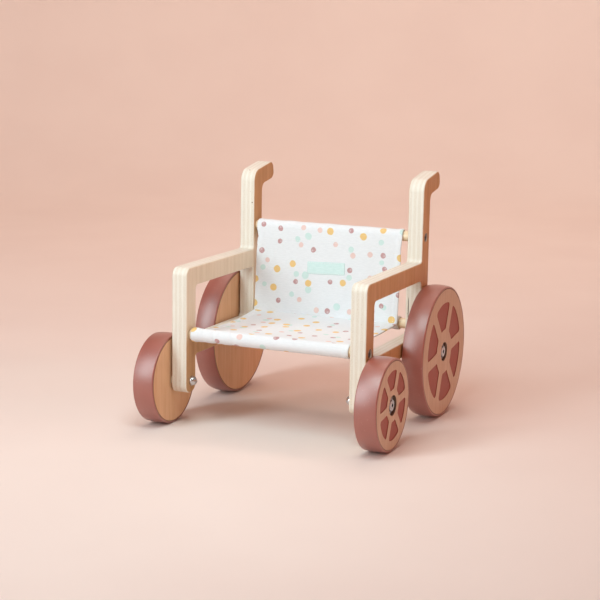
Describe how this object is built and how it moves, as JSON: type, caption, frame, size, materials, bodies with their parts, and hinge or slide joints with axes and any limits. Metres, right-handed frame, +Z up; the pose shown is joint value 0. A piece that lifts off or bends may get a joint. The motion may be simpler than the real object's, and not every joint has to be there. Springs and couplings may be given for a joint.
{
  "type": "doll wheelchair",
  "caption": "Wooden doll wheelchair: plywood side frames with push handles, a dotted cloth sling seat on dowels, and wooden wheels with soft tyres that turn freely.",
  "frame": {"origin": "on the floor, under the middle of the chair's length and width", "axes": "+X to the seated doll's left, +Y to the chair's back, +Z up; the doll faces -Y"},
  "size_m": [0.2898, 0.299, 0.2828],
  "materials": {
    "plywood": "birch plywood, clear matt lacquer",
    "dowel_wood": "turned birch, clear matt lacquer",
    "wheel_wood": "turned wood, clear matt lacquer, painted panels between the spokes",
    "tyre_rubber": "soft matt mauve rubber",
    "sling_cloth": "plain woven cotton with printed dots",
    "label_cloth": "plain woven mint patch",
    "bolt_steel": "zinc plated",
    "screw_steel": "zinc plated",
    "chrome": "polished nickel plate",
    "spacer_plastic": "natural nylon"
  },
  "bodies": {
    "chair": {"front_dowel": "dowel_wood", "rear_dowel": "dowel_wood", "top_dowel": "dowel_wood", "dowel_screws": "screw_steel", "sling": "sling_cloth", "sling_label": "label_cloth", "left_side_frame": "plywood", "left_front_spacer": "spacer_plastic", "left_front_sleeve": "bolt_steel", "left_front_hub_washer": "bolt_steel", "left_front_axle_bolt": "bolt_steel", "left_front_cap_nut": "chrome", "left_rear_spacer": "spacer_plastic", "left_rear_sleeve": "bolt_steel", "left_rear_hub_washer": "bolt_steel", "left_rear_axle_bolt": "bolt_steel", "left_rear_cap_nut": "chrome", "right_side_frame": "plywood", "right_front_spacer": "spacer_plastic", "right_front_sleeve": "bolt_steel", "right_front_hub_washer": "bolt_steel", "right_front_axle_bolt": "bolt_steel", "right_front_cap_nut": "chrome", "right_rear_spacer": "spacer_plastic", "right_rear_sleeve": "bolt_steel", "right_rear_hub_washer": "bolt_steel", "right_rear_axle_bolt": "bolt_steel", "right_rear_cap_nut": "chrome"},
    "left_front_wheel": {"left_front_tyre": "tyre_rubber", "left_front_disc": "wheel_wood"},
    "left_rear_wheel": {"left_rear_tyre": "tyre_rubber", "left_rear_disc": "wheel_wood"},
    "right_front_wheel": {"right_front_tyre": "tyre_rubber", "right_front_disc": "wheel_wood"},
    "right_rear_wheel": {"right_rear_tyre": "tyre_rubber", "right_rear_disc": "wheel_wood"}
  },
  "joints": [
    {"name": "left_front_wheel_spin", "type": "hinge", "parent": "chair", "child": "left_front_wheel", "pos_m": [0.1323, -0.09805, 0.0515], "axis": [1, 0, 0], "continuous": true},
    {"name": "left_rear_wheel_spin", "type": "hinge", "parent": "chair", "child": "left_rear_wheel", "pos_m": [0.1313, 0.07225, 0.0773], "axis": [1, 0, 0], "continuous": true},
    {"name": "right_front_wheel_spin", "type": "hinge", "parent": "chair", "child": "right_front_wheel", "pos_m": [-0.1323, -0.09805, 0.0515], "axis": [1, 0, 0], "continuous": true},
    {"name": "right_rear_wheel_spin", "type": "hinge", "parent": "chair", "child": "right_rear_wheel", "pos_m": [-0.1313, 0.07225, 0.0773], "axis": [1, 0, 0], "continuous": true}
  ]
}
